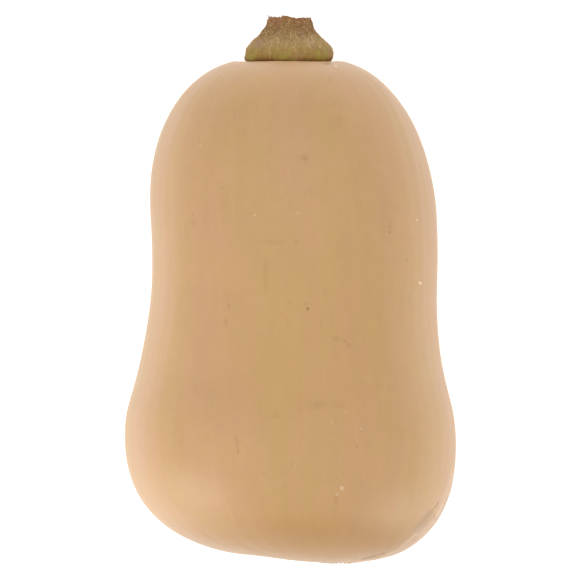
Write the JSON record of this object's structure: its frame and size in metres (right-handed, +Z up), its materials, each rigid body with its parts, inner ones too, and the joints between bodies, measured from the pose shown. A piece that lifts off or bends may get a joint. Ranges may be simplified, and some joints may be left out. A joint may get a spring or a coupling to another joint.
{
  "type": "butternut squash",
  "caption": "Whole butternut squash lying on its side: a pear-shaped tan fruit with a broad bulb and a thick neck, and the dry ridged stub of its stem.",
  "frame": {"origin": "on the surface that the squash lies on, under the middle of its bounding box", "axes": "+Z up, +Y along the squash towards its stem end, +X to the right seen from above with the stem end away from you"},
  "size_m": [0.1258, 0.2088, 0.1199],
  "materials": {
    "skin": "smooth hard rind with a dull waxy sheen, pinkish tan with faint lengthwise bands",
    "stem": "dry, corky and ridged, olive brown with a torn tip"
  },
  "bodies": {
    "root": {"fruit": "skin", "stem": "stem"}
  },
  "joints": []
}
